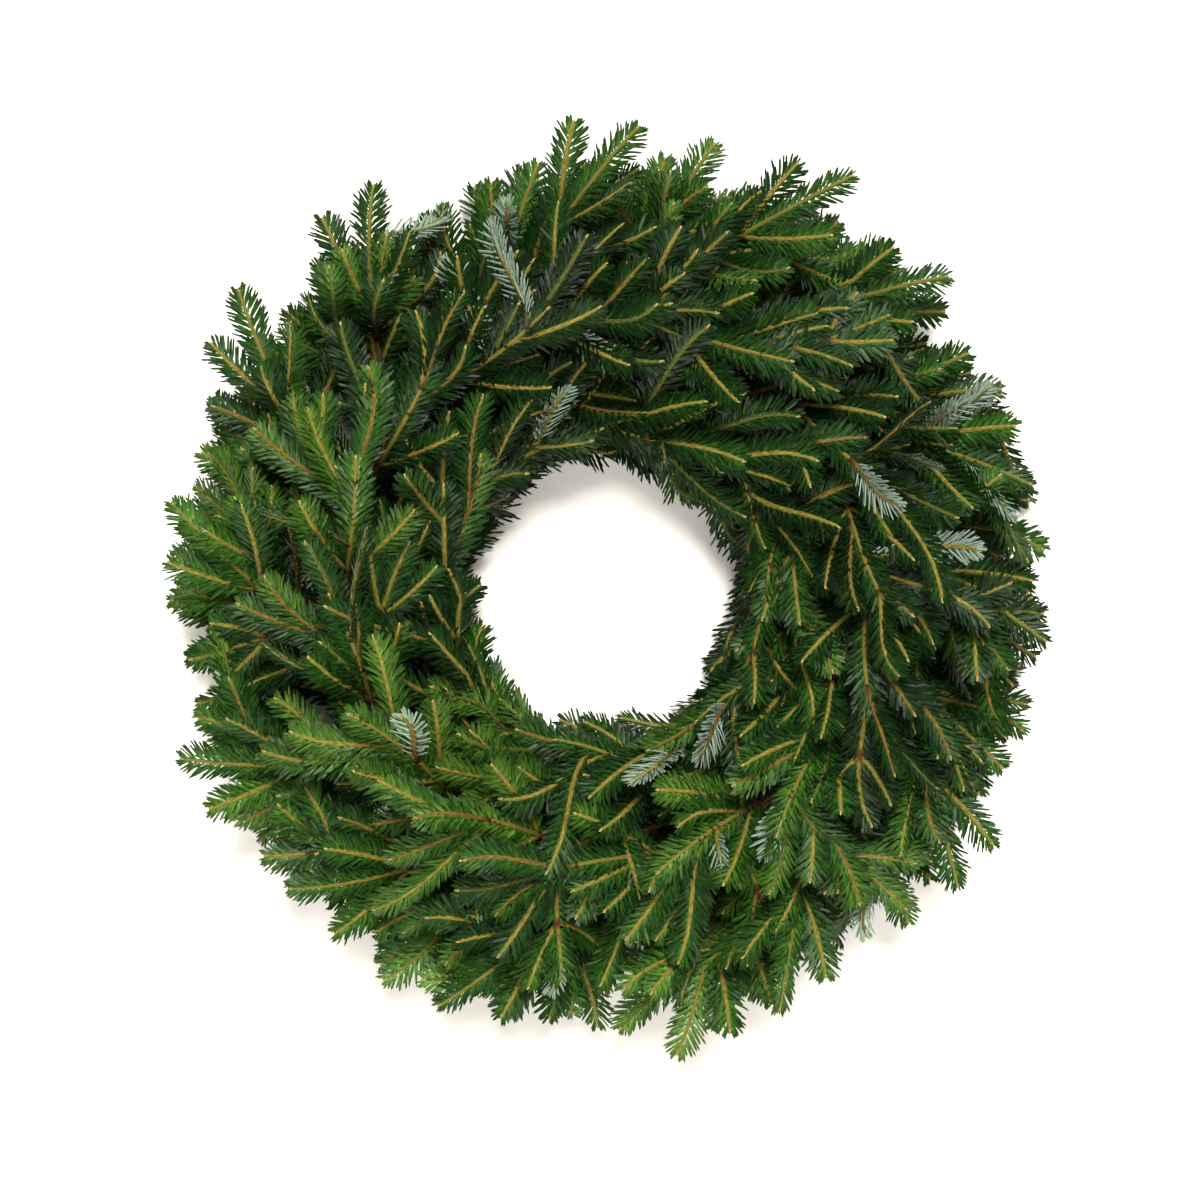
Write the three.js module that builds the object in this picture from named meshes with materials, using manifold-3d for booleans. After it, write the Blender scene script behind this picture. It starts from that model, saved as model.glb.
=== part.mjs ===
// A fresh evergreen wreath: bunches of fir boughs laid clockwise round a double-rail wire clamp ring,
// each bunch hiding the stems of the next. The wreath lies on its back: +Z comes out of its face,
// +Y is its top as it would hang and +X its right. Millimetres, with angles in degrees.
import * as THREE from "three";
import { mergeVertices } from "three/addons/utils/BufferGeometryUtils.js";
import Module from "manifold-3d";

const wasm = await Module();
wasm.setup();

// ---- Driving dimensions ----
const RING = {
  innerR: 171, // centre lines of the two rails of a 16 inch ring
  outerR: 203,
  wireR: 1.9, // corner radius of the six-sided rail, about 3.5 mm of wire
  sides: 6,
  segments: 28,
  z: 4.5, // their undersides are welded 0.4 mm or more into the bars
};
const CLAMP = {
  count: 14,
  first: 90 - 360 / 28, // the 12 o'clock of the ring lies between two clamps, free for a hook
  wire: 3,
  overhang: 8, // the bar passes this far beyond each rail's centre line
  low: [0, 5, 9], // the three clamps that the wreath rests on
  lift: 0.4, // every other clamp stays this far above the surface
  prongLength: 42,
  prongDrift: 4, // the two folded prongs lean apart and lie side by side
};
const SEAT_GAP = 0.3; // between a stem and the wire that carries or holds it
const STEM = {
  buttR: 3.4,
  forkR: 2.6,
  forkAt: 0.55, // a stem has its fork's radius at this share of its length
  tipR: 1.7,
  sideR: 2,
  pitch: 6.9, // from stem to stem, side by side in a clamp
  behind: 18,
  ahead: 12,
  plainStep: 30, // the longest stretch between two rings of a bare stem
};
const BARE = { main: 88, side: 9 }; // the bare part of a stem, in and behind its clamp, and of a shoot
const NEEDLE = {
  length: 17,
  tipLength: 12,
  tipLean: 0.75, // the share of their lean that the needles nearest to a bud keep
  band: 2.6, // how much of the twig the root of a needle takes
  pitch: 20, // from band to band
  baseR: 1.7,
  tipR: 0.1,
  clear: 0.6, // to any other needle or twig
};
const BUD_LENGTH = 7;
const HOLE_R = 91.5; // no needle reaches further in
const FLOOR_GAP = 4; // no needle reaches lower
const SHOOT_FLOOR = 6; // and no side shoot is lower than this
const TWIG_CLEAR = 7; // between the twigs of different boughs
const FORK_CLEAR = 1.5; // and at the root of a side shoot
const RUN_STEP = 11; // a twig is tested for clearance in straight runs of this length at most
const NEAR = 60; // what is further than this from a twig's ends can't touch its needles
const CROWN = { r: 195, halfWidth: 110, tilt: 0.8 }; // the ring of foliage is domed about this radius

// The four boughs of a bunch, from the hole to the rim. sweep is how far round from its clamp a tip
// lies, heading is the tip's direction from the radius, towards clockwise, and slope is its rise.
const LANES = [
  { name: "inner", tipR: 107, sweep: 58, tipZ: 60, heading: 84, slope: 0, sides: [-1], fan: 34 },
  { name: "crown", tipR: 188, sweep: 53, tipZ: 110, heading: 58, slope: 4, sides: [-1, 1], fan: 38 },
  { name: "outer", tipR: 300, sweep: 37, tipZ: 80, heading: 36, slope: -4, sides: [-1, 1], fan: 34 },
  { name: "rim", tipR: 300, sweep: 24, tipZ: 44, heading: 28, slope: -6, sides: [-1, 1], fan: 34 },
];
const LEAD = 55; // how far a bough keeps the clamp's direction
const LEAD_RISE = 13; // and rises on the way, clear of the rails
const TRAIL = 75; // and how far back from its tip it takes the tip's
const SIDE = {
  back: 84, // the fork, back from the tip
  length: 66,
  bend: 0.6, // a side shoot's second half keeps this share of its fan
};
// The most that a draw adds to each of these.
const SPREAD = { reach: 5, sweep: 3, height: 8, rimHeight: 12, heading: 7, fan: 5, length: 6 };
// The wreath's own outline, clamp by clamp: how far its tips are turned on, and how far out they reach.
const OUTLINE = {
  outer: {
    turn: [-3, 0, -5, 3, 5, -7, -2, -3, -7, 0, 2, -3, 5, 6],
    reach: [307, 290, 292, 303, 298, 311, 297, 288, 303, 294, 316, 312, 308, 318],
  },
  rim: {
    turn: [2, 0, -4, 0, -2, 1, 3, -7, -3, 7, 2, -1, 5, 2],
    reach: [298, 298, 295, 290, 301, 301, 295, 303, 297, 296, 296, 297, 292, 310],
  },
};

// The needles of one band of a twig: the side they are on, their lean from the twig, and their rise.
const NEEDLE_SET = {
  topRight: { side: 1, lean: 42, rise: 24 },
  topLeft: { side: -1, lean: 42, rise: 24 },
  right: { side: 1, lean: 58, rise: -6 },
  left: { side: -1, lean: 58, rise: -6 },
};
// What is tried in turn for a needle, and then for a side shoot, that has to clear its neighbours:
// a share of its angle from the twig, and degrees up.
const TURNS = [[1, 0], [0.8, 12], [1.15, -10], [0.6, 0], [0.8, -22], [0.45, 14]];
const SHRINK = [1, 0.8]; // and before that a share of its length
const SIDE_TURNS = [[1, 0], [0.8, 8], [1.2, -8], [0.8, -16], [0.6, 16], [1.3, 16], [0.6, -28], [0.7, 30]];

const PAINTED_WIRE = { color: 0x3f4a35, roughness: 0.5, metalness: 0.6 };
const FIR_COLOURS = { inner: 0x36492a, crown: 0x3f5a30, outer: 0x3b5230, rim: 0x4b6339 };
const FIR_FINISH = { roughness: 0.75, metalness: 0 };

const MERGE_WITHIN = 1e-4; // vertices closer than this are one
const TINY = 1e-6;
const PARALLEL = 1e-9; // two runs whose squared cross product is under this run the same way

// ---- Places round the ring ----
const DEG = Math.PI / 180;
const UP = new THREE.Vector3(0, 0, 1);
const MID_R = (RING.innerR + RING.outerR) / 2;
const WIRE_R = CLAMP.wire * Math.SQRT1_2; // to a corner of the square wire
const radial = (angle) => new THREE.Vector3(Math.cos(angle * DEG), Math.sin(angle * DEG), 0);
const clockwise = (angle) => new THREE.Vector3(Math.sin(angle * DEG), -Math.cos(angle * DEG), 0);
const clampAngle = (bunch) => CLAMP.first - (bunch * 360) / CLAMP.count;
const clampZ = (bunch) => (CLAMP.low.includes(bunch) ? 0 : CLAMP.lift);
const limit = (x) => Math.min(Math.max(x, 0), 1);
// The sum of vectors, each given with its factor.
const sum = (...parts) =>
  parts.reduce((total, [v, k]) => total.addScaledVector(v, k), new THREE.Vector3());

// A repeatable draw between -1 and 1 for each bunch, lane and use: the fraction of a large sine.
function draw(bunch, lane, use) {
  const x = Math.sin(bunch * 127.1 + lane * 311.7 + use * 74.7 + 5.3) * 43758.5453;
  return 2 * (x - Math.floor(x)) - 1;
}

// ---- Solids ----
function solidOf(geometry) {
  const bare = new THREE.BufferGeometry();
  bare.setAttribute("position", geometry.getAttribute("position"));
  if (geometry.index) bare.setIndex(geometry.index);
  const merged = mergeVertices(bare, MERGE_WITHIN);
  const vertProperties = new Float32Array(merged.attributes.position.array);
  return new wasm.Manifold(
    new wasm.Mesh({ numProp: 3, vertProperties, triVerts: new Uint32Array(merged.index.array) }),
  );
}

function geometryOf(solid) {
  const mesh = solid.getMesh();
  const geometry = new THREE.BufferGeometry();
  geometry.setAttribute("position", new THREE.BufferAttribute(mesh.vertProperties, 3));
  geometry.setIndex(new THREE.BufferAttribute(mesh.triVerts, 1));
  geometry.computeVertexNormals();
  return geometry;
}

const joined = (solids) => solids.reduce((all, solid) => all.add(solid));

function meshOf(name, solid, finish) {
  const mesh = new THREE.Mesh(geometryOf(solid), new THREE.MeshStandardMaterial(finish));
  mesh.name = name;
  return mesh;
}

// ---- The clamp ring: two rails, and a U of wire welded across them for each bunch ----
function rail(radius) {
  const corner = (i) => {
    const a = ((i + 0.5) / RING.sides) * 2 * Math.PI;
    return new THREE.Vector2(radius + RING.wireR * Math.cos(a), RING.z + RING.wireR * Math.sin(a));
  };
  const profile = Array.from({ length: RING.sides + 1 }, (_, i) => corner(i % RING.sides));
  const ring = new THREE.LatheGeometry(profile, RING.segments, Math.PI / RING.segments);
  ring.rotateX(Math.PI / 2);
  return solidOf(ring);
}

// One clamp's bent wire, from prong end to prong end: each point's place and the side its corner faces.
function clampWire(bunch) {
  const out = radial(clampAngle(bunch));
  const along = clockwise(clampAngle(bunch));
  const half = CLAMP.wire / 2;
  const barZ = clampZ(bunch) + half;
  const stemHeight = 1.5 * STEM.buttR; // a stem is three-sided, with its keel down
  const prongZ = barZ + half + 2 * SEAT_GAP + stemHeight + half;
  const inR = RING.innerR - CLAMP.overhang;
  const outR = RING.outerR + CLAMP.overhang;
  const bend = (r, z, cornerR, cornerZ, drift = 0) => ({
    point: sum([out, r], [UP, z], [along, drift]),
    corner: sum([out, cornerR], [UP, cornerZ]),
    along,
  });
  return [
    bend(inR + CLAMP.prongLength, prongZ, 0, 1, CLAMP.prongDrift),
    bend(inR, prongZ, -1, 1),
    bend(inR, barZ, -1, -1),
    bend(outR, barZ, 1, -1),
    bend(outR, prongZ, 1, 1),
    bend(outR - CLAMP.prongLength, prongZ, 0, 1, -CLAMP.prongDrift),
  ];
}

// Square wire through those points, mitred at its bends.
function bentWire(bends) {
  const half = CLAMP.wire / 2;
  const corners = [[half, half], [half, -half], [-half, -half], [-half, half]];
  const points = bends.flatMap(({ point, corner, along }) =>
    corners.map(([out, across]) => sum([point, 1], [corner, out], [along, across])),
  );
  const faces = [[0, 2, 1], [0, 3, 2]];
  for (let i = 0; i < points.length - 4; i += 4)
    for (let j = 0; j < 4; j++) {
      const [a, b] = [i + j, i + ((j + 1) % 4)];
      faces.push([a, b + 4, a + 4], [a, b, b + 4]);
    }
  const [a, b, c, d] = [4, 3, 2, 1].map((k) => points.length - k);
  faces.push([a, b, c], [a, c, d]);
  const geometry = new THREE.BufferGeometry().setFromPoints(points);
  geometry.setIndex(faces.flat());
  return solidOf(geometry);
}

function clampRing() {
  const clamps = Array.from({ length: CLAMP.count }, (_, bunch) => bentWire(clampWire(bunch)));
  return joined([rail(RING.innerR), rail(RING.outerR), ...clamps]);
}

// ---- Twigs ----
// A twig is a curve with a radius at each distance along it, and a frame: ahead, to its side and up.
function makeTwig(curve, radii, owner, straight = 0) {
  const length = curve.getLength();
  const radiusAt = (s) => {
    const k = radii.findIndex(([at]) => s <= at * length + TINY);
    if (k <= 0) return radii[Math.max(k, 0)][1];
    const [[s0, r0], [s1, r1]] = [radii[k - 1], radii[k]];
    return r0 + ((r1 - r0) * (s / length - s0)) / (s1 - s0);
  };
  const frameAt = (s) => {
    const u = Math.min(s / length, 1);
    const point = curve.getPointAt(u);
    const ahead = curve.getTangentAt(u);
    const r = Math.hypot(point.x, point.y);
    const free = straight ? limit((s - straight) / LEAD) : 1; // a stem lies level in its clamp
    const lean = (free * CROWN.tilt * (r - CROWN.r)) / CROWN.halfWidth;
    const up = new THREE.Vector3((point.x / r) * lean, (point.y / r) * lean, 1);
    up.addScaledVector(ahead, -up.dot(ahead)).normalize();
    return { point, ahead, up, side: new THREE.Vector3().crossVectors(ahead, up) };
  };
  return { length, radiusAt, frameAt, owner, straight };
}

// A bough's main stem: straight under its clamp, then one sweep up and round to its tip.
function mainTwig(bunch, lane) {
  const plan = LANES[lane];
  const angle = clampAngle(bunch);
  const along = clockwise(angle);
  const seatR = MID_R + (lane - (LANES.length - 1) / 2) * STEM.pitch;
  const seatZ = clampZ(bunch) + CLAMP.wire + SEAT_GAP + STEM.buttR;
  const seat = sum([radial(angle), seatR], [UP, seatZ]);
  const outline = OUTLINE[plan.name];
  const turn = outline ? outline.turn[bunch] : SPREAD.sweep * draw(bunch, lane, 1);
  const reach = outline ? outline.reach[bunch] : plan.tipR + SPREAD.reach * draw(bunch, lane, 2);
  const height = plan.tipZ + (outline ? SPREAD.rimHeight : SPREAD.height) * draw(bunch, lane, 3);
  const heading = (plan.heading + SPREAD.heading * draw(bunch, lane, 4)) * DEG;
  const tipAngle = angle - plan.sweep - turn;
  const tip = sum([radial(tipAngle), reach], [UP, height]);
  const flat = Math.cos(plan.slope * DEG);
  const last = sum(
    [radial(tipAngle), Math.cos(heading) * flat],
    [clockwise(tipAngle), Math.sin(heading) * flat],
    [UP, Math.sin(plan.slope * DEG)],
  );
  const butt = sum([seat, 1], [along, -STEM.behind]);
  const leave = sum([seat, 1], [along, STEM.ahead]);
  const rising = sum([leave, 1], [along, LEAD], [UP, LEAD_RISE]);
  const arriving = sum([tip, 1], [last, -TRAIL]);
  const curve = new THREE.CurvePath();
  curve.add(new THREE.LineCurve3(butt, leave));
  curve.add(new THREE.CubicBezierCurve3(leave, rising, arriving, tip));
  const straight = STEM.behind + STEM.ahead;
  const held = straight / curve.getLength();
  const radii = [[0, STEM.buttR], [held, STEM.buttR], [STEM.forkAt, STEM.forkR], [1, STEM.tipR]];
  return makeTwig(curve, radii, `${bunch}-${lane}`, straight);
}

// A side shoot leaves the main stem at a fork, to the left (-1) or right (1), and bends forward again.
function sideTwig(bunch, lane, side, main, [widen, lift]) {
  const plan = LANES[lane];
  const use = 10 + side;
  const length = SIDE.length + SPREAD.length * draw(bunch, lane, use);
  const fan = (plan.fan + SPREAD.fan * draw(bunch, lane, use + 4)) * widen * DEG;
  const { point, ahead, up, side: right } = main.frameAt(main.length - SIDE.back);
  const rise = Math.sin(lift * DEG);
  const aim = (angle) =>
    sum([ahead, Math.cos(angle)], [right, side * Math.sin(angle)], [up, rise]).normalize();
  const middle = sum([point, 1], [aim(fan), length / 2]);
  const end = sum([middle, 1], [aim(fan * SIDE.bend), length / 2]);
  const curve = new THREE.QuadraticBezierCurve3(point, middle, end);
  return makeTwig(curve, [[0, STEM.sideR], [1, STEM.tipR]], main.owner);
}

// ---- Clearance: everything that is placed is kept as tapered runs ----
const placed = [];

// The gap between two tapered runs, from the nearest points of their centre lines.
function gapBetween(a, b) {
  const u = b.from.clone().sub(a.from);
  const aa = a.run.dot(a.run);
  const bb = b.run.dot(b.run);
  const ab = a.run.dot(b.run);
  const ua = u.dot(a.run);
  const ub = u.dot(b.run);
  const cross = aa * bb - ab * ab;
  let s = cross > PARALLEL ? limit((ua * bb - ub * ab) / cross) : 0;
  const t = limit((ab * s - ub) / bb);
  s = limit((ab * t + ua) / aa);
  const apart = u.addScaledVector(b.run, t).addScaledVector(a.run, -s).length();
  return apart - a.r0 - (a.r1 - a.r0) * s - b.r0 - (b.r1 - b.r0) * t;
}

function taperedRun(from, to, r0, r1, owner, twig) {
  const run = to.clone().sub(from);
  const middle = from.clone().addScaledVector(run, 0.5);
  return { from, run, r0, r1, owner, twig, middle, size: run.length() / 2 + Math.max(r0, r1) };
}

const isClear = (run, others, margin) =>
  others.every(
    (other) =>
      run.middle.distanceTo(other.middle) > run.size + other.size + margin ||
      gapBetween(run, other) > margin,
  );

function twigRuns(twig) {
  const count = Math.ceil(twig.length / RUN_STEP);
  return Array.from({ length: count }, (_, i) => {
    const [s0, s1] = [(i * twig.length) / count, ((i + 1) * twig.length) / count];
    const ends = [twig.frameAt(s0).point, twig.frameAt(s1).point];
    return taperedRun(...ends, twig.radiusAt(s0), twig.radiusAt(s1), twig.owner, twig);
  });
}

// The side shoot turned the first way that clears the other boughs, the hole and the surface, or none.
function bentClear(bunch, lane, side, main) {
  const others = placed.filter((run) => run.owner !== main.owner);
  for (const turn of SIDE_TURNS) {
    const twig = sideTwig(bunch, lane, side, main, turn);
    const runs = twigRuns(twig);
    const inReach = runs.every((run) => {
      const end = run.from.clone().add(run.run);
      return Math.hypot(end.x, end.y) > HOLE_R + NEEDLE.tipLength / 2 && end.z > SHOOT_FLOOR;
    });
    const isFree = (run, i) => isClear(run, others, i ? TWIG_CLEAR : FORK_CLEAR);
    if (inReach && runs.every(isFree)) return twig;
  }
  return null;
}

// ---- Needles: each is a facet of a short band of the three-sided twig, drawn out to a point ----
// A ring's corners are left, right and keel. Each facet between two rings is two triangles.
const FACETS = [
  [0, 1, "topRight", "topLeft"],
  [1, 2, "underRight", "right"],
  [2, 0, "left", "underLeft"],
];

function ringCorners(twig, s) {
  const { point, side, up } = twig.frameAt(s);
  const r = twig.radiusAt(s);
  const across = r * Math.cos(30 * DEG);
  return [
    sum([point, 1], [side, -across], [up, r / 2]),
    sum([point, 1], [side, across], [up, r / 2]),
    sum([point, 1], [up, -r]),
  ];
}

// The first of a few directions and lengths that keeps the needle clear of its neighbours, or none.
function needleTip(twig, s, name, base, neighbours) {
  const { ahead, side, up } = twig.frameAt(s);
  const { side: hand, lean, rise } = NEEDLE_SET[name];
  const nearTip = twig.length - s < NEEDLE.pitch;
  for (const shrink of SHRINK)
    for (const [turn, lift] of TURNS) {
      const a = lean * turn * DEG * (nearTip ? NEEDLE.tipLean : 1);
      const e = (rise + lift) * DEG;
      const aim = sum([ahead, Math.cos(a)], [side, hand * Math.sin(a) * Math.cos(e)], [up, Math.sin(e)]);
      const length = shrink * (nearTip ? NEEDLE.tipLength : NEEDLE.length);
      const tip = sum([base, 1], [aim.normalize(), length]);
      if (tip.z < FLOOR_GAP || Math.hypot(tip.x, tip.y) < HOLE_R) continue;
      const run = taperedRun(base, tip, NEEDLE.baseR, NEEDLE.tipR, twig.owner, twig);
      if (!isClear(run, neighbours, NEEDLE.clear)) continue;
      placed.push(run);
      return tip;
    }
  return null;
}

// The rings of a twig, each as its distance and whether a band of needles starts there.
function ringStations(twig, bareLength) {
  const last = twig.length - BUD_LENGTH - NEEDLE.band;
  const bands = [];
  for (let s = last; s > bareLength; s -= NEEDLE.pitch) bands.unshift(s);
  const plain = [0];
  const bareRun = bands[0] - twig.straight;
  const bareSteps = Math.ceil(bareRun / STEM.plainStep);
  for (let i = twig.straight ? 0 : 1; i < bareSteps; i++)
    plain.push(twig.straight + (i * bareRun) / bareSteps);
  return [
    ...plain.map((s) => [s, false]),
    ...bands.flatMap((s) => [[s, true], [s + NEEDLE.band, false]]),
  ];
}

function needledTwig(twig, bareLength) {
  const stations = ringStations(twig, bareLength);
  const points = stations.flatMap(([s]) => ringCorners(twig, s));
  const faces = [];
  const middle = twig.frameAt(twig.length / 2).point;
  const neighbours = placed.filter(
    (run) => run.twig !== twig && run.middle.distanceTo(middle) < twig.length / 2 + NEAR,
  );
  // One triangle of a facet, or the three sides of the needle that stands on it.
  const raise = (corners, s, name, band) => {
    const centre = corners.reduce((c, i) => c.addScaledVector(points[i], 1 / 3), new THREE.Vector3());
    const tip = band && name in NEEDLE_SET ? needleTip(twig, s, name, centre, neighbours) : null;
    if (!tip) {
      faces.push(corners);
      return;
    }
    const [a, b, c] = corners;
    const top = points.push(tip) - 1;
    faces.push([a, b, top], [b, c, top], [c, a, top]);
  };
  stations.slice(0, -1).forEach(([s, band], i) => {
    for (const [from, to, ahead, behind] of FACETS) {
      const [a, b, c, d] = [3 * i + from, 3 * i + to, 3 * i + 3 + to, 3 * i + 3 + from];
      raise([a, b, c], s, ahead, band);
      raise([a, c, d], s, behind, band);
    }
  });
  const last = 3 * (stations.length - 1);
  const budTip = points.push(twig.frameAt(twig.length).point) - 1;
  faces.push([0, 2, 1], ...FACETS.map(([from, to]) => [last + from, last + to, budTip]));

  const geometry = new THREE.BufferGeometry().setFromPoints(points);
  geometry.setIndex(faces.flat());
  return solidOf(geometry);
}

// ---- The wreath ----
const wreath = new THREE.Group();

const frame = clampRing();
// What the needles have to clear: first the wire, then every stem, then the shoots as they are grown.
for (let bunch = 0; bunch < CLAMP.count; bunch++) {
  const bends = clampWire(bunch).map(({ point }) => point);
  bends.slice(1).forEach((to, i) => placed.push(taperedRun(bends[i], to, WIRE_R, WIRE_R, "ring")));
}
for (const radius of [RING.innerR, RING.outerR])
  for (let i = 0; i < RING.segments; i++) {
    const ends = [i - 0.5, i + 0.5].map((k) =>
      sum([radial(90 + (k * 360) / RING.segments), radius], [UP, RING.z]),
    );
    placed.push(taperedRun(...ends, RING.wireR, RING.wireR, "ring"));
  }
wreath.add(meshOf("ring_frame", frame, PAINTED_WIRE));

const boughs = [];
for (let bunch = 0; bunch < CLAMP.count; bunch++)
  LANES.forEach((plan, lane) => {
    const main = mainTwig(bunch, lane);
    placed.push(...twigRuns(main));
    boughs.push({ bunch, lane, plan, twigs: [main] });
  });
for (const { bunch, lane, plan, twigs } of boughs)
  for (const side of plan.sides) {
    const shoot = bentClear(bunch, lane, side, twigs[0]);
    if (!shoot) continue;
    placed.push(...twigRuns(shoot));
    twigs.push(shoot);
  }
for (const { bunch, plan, twigs } of boughs) {
  const solids = twigs.map((twig, i) => needledTwig(twig, i ? BARE.side : BARE.main));
  const name = `bough_${plan.name}_${String(bunch + 1).padStart(2, "0")}`;
  wreath.add(meshOf(name, joined(solids), { color: FIR_COLOURS[plan.name], ...FIR_FINISH }));
}

// The wreath rests on z = 0, centred under its own box.
const box = new THREE.Box3().setFromObject(wreath);
const centre = box.getCenter(new THREE.Vector3());
wreath.position.set(-centre.x, -centre.y, -box.min.z);

export default wreath;
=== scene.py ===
"""A fresh evergreen wreath, lying on its back with its face up: bunches of fir boughs laid clockwise
round a double-rail wire clamp ring, each bunch hiding the stems of the next. Metres, +Y is its top."""

import bpy
import numpy as np
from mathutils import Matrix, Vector


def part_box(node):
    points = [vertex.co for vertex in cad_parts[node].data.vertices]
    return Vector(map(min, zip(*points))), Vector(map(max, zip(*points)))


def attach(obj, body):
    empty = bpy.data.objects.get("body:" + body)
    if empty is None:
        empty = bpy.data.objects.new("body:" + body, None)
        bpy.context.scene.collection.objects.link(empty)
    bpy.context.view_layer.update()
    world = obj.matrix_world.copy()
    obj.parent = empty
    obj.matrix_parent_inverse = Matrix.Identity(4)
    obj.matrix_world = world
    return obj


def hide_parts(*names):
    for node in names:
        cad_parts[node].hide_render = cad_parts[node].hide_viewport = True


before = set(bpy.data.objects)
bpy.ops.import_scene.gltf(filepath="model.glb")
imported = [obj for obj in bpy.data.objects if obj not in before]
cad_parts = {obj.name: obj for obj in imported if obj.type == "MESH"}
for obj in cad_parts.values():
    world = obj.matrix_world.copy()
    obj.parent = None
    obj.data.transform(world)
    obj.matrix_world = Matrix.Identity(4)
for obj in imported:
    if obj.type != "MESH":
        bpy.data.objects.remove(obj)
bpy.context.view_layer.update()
MM = 0.001

# ---- The clamp ring ----
# Two hoops of 3.5 mm steel wire, with a U of 3 mm wire welded across both of them for each bunch.
# The prongs of the U are folded down over the stems by hand. The whole ring is dipped in green paint.
RAIL_RADII = (171 * MM, 203 * MM)
RAIL_WIRE = 1.75 * MM  # the wire's own radius
RAIL_Z = 4.5 * MM
RAIL_POINTS = 168
CLAMPS = 14
FIRST_CLAMP = 90 - 180 / CLAMPS  # degrees, so that 12 o'clock lies between two clamps
CLAMP_WIRE = 1.5 * MM
CLAMP_OVERHANG = 8 * MM
LOW_CLAMPS = (0, 5, 9)  # the three that touch the surface
CLAMP_LIFT = 0.4 * MM
PRONG_Z = 12.2 * MM  # centre of a folded prong above its bar's underside
PRONG_LENGTH = 42 * MM
PRONG_DRIFT = 4 * MM
BEND_RADIUS = 4 * MM
BEND_POINTS = 6
WELD = 2.6 * MM  # a bead's radius
WELD_HEIGHT = 0.66  # of its radius, how high and low its poles lie
WELD_RINGS = 7
WELD_SIDES = 10
WIRE_SIDES = 12
GREEN_PAINT = "2F3B2A"
STEEL = "8A8A84"
WORN_SCALE = 320  # specks of bare steel about 3 mm apart
WORN_AT = (0.66, 0.74)  # of the noise, where the paint ends and the steel begins
DRIP_SCALE = 140  # runs in the paint about 7 mm apart
DRIP_HEIGHT = 0.3 * MM

low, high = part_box("ring_frame")
AXIS = np.array([(low.x + high.x) / 2, (low.y + high.y) / 2, 0])


def clamp_angle(bunch):
    """The clamp's place round the ring in radians: clockwise from just right of the top."""
    return np.radians(FIRST_CLAMP - bunch * 360 / CLAMPS)


def radial(angle):
    """Straight out from the ring's axis at that angle."""
    return np.array([np.cos(angle), np.sin(angle), 0])


def clockwise(angle):
    """Along the ring at that angle, clockwise as seen from the face."""
    return np.array([np.sin(angle), -np.cos(angle), 0])


def clamp_z(bunch):
    """The underside of the clamp's bar."""
    return 0 if bunch in LOW_CLAMPS else CLAMP_LIFT


def unit(vectors):
    """Each row over its own length."""
    return vectors / np.linalg.norm(vectors, axis=-1, keepdims=True)


def wrapped_quads(rows, sides, closed):
    """The quads of a grid of rows by sides that wraps round its sides, and round its rows if closed."""
    row, side = np.meshgrid(np.arange(rows if closed else rows - 1), np.arange(sides), indexing="ij")
    after = (row + 1) % rows
    beside = (side + 1) % sides
    corners = (row * sides + side, row * sides + beside, after * sides + beside, after * sides + side)
    return np.stack(corners, -1).reshape(-1, 4)


def round_bar(path, radius, over, sides=WIRE_SIDES, closed=False):
    """A round bar along a path: at each of its points a circle square to the path,
    centre + radius * (cos a * across + sin a * over), with over turned square to the path.
    Open ends are closed by a fan. Gives (points, quads, triangles)."""
    ahead = unit(np.roll(path, -1, 0) - np.roll(path, 1, 0)) if closed else unit(np.gradient(path, axis=0))
    across = unit(np.cross(ahead, np.broadcast_to(over, path.shape)))
    upward = np.cross(across, ahead)
    a = np.arange(sides) * 2 * np.pi / sides
    radius = np.broadcast_to(radius, len(path))[:, None, None]
    ring = np.cos(a)[:, None] * across[:, None] + np.sin(a)[:, None] * upward[:, None]
    points = (path[:, None] + radius * ring).reshape(-1, 3)
    quads = wrapped_quads(len(path), sides, closed)[:, ::-1]
    if closed:
        return points, quads, np.zeros((0, 3), int)
    side = np.arange(sides)
    beside = (side + 1) % sides
    last = (len(path) - 1) * sides
    start = np.stack([np.full(sides, len(points)), side, beside], -1)
    end = np.stack([np.full(sides, len(points) + 1), last + beside, last + side], -1)
    return np.vstack([points, path[:1], path[-1:]]), quads, np.vstack([start, end])


def rounded(corners, radius):
    """A line through the corners with each inner one rounded: a quadratic curve from radius before it
    to radius after it."""
    path = [corners[0]]
    t = np.linspace(0, 1, BEND_POINTS)[:, None]
    for before, corner, after in zip(corners, corners[1:], corners[2:]):
        start = corner + unit(before - corner) * radius
        end = corner + unit(after - corner) * radius
        path.extend((1 - t) ** 2 * start + 2 * t * (1 - t) * corner + t**2 * end)
    return np.array([*path, corners[-1]])


def clamp_corners(bunch):
    """The bends of one clamp, from prong end to prong end, out of a list of (radius, height, drift
    along the ring)."""
    inner = RAIL_RADII[0] - CLAMP_OVERHANG
    outer = RAIL_RADII[1] + CLAMP_OVERHANG
    bar = clamp_z(bunch) + CLAMP_WIRE
    prong = clamp_z(bunch) + PRONG_Z
    bends = [
        (inner + PRONG_LENGTH, prong, PRONG_DRIFT),
        (inner, prong, 0),
        (inner, bar, 0),
        (outer, bar, 0),
        (outer, prong, 0),
        (outer - PRONG_LENGTH, prong, -PRONG_DRIFT),
    ]
    angle = clamp_angle(bunch)
    return np.array([radial(angle) * r + clockwise(angle) * d + [0, 0, z] for r, z, d in bends])


def weld_bead(centre):
    """A bead of weld: a ball flattened to two thirds, with poles up and down."""
    a = np.linspace(-np.pi / 2, np.pi / 2, WELD_RINGS)[1:-1]
    path = centre + np.stack([a * 0, a * 0, np.sin(a) * WELD * WELD_HEIGHT], -1)
    return round_bar(path, WELD * np.cos(a), [1, 0, 0], WELD_SIDES)


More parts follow.
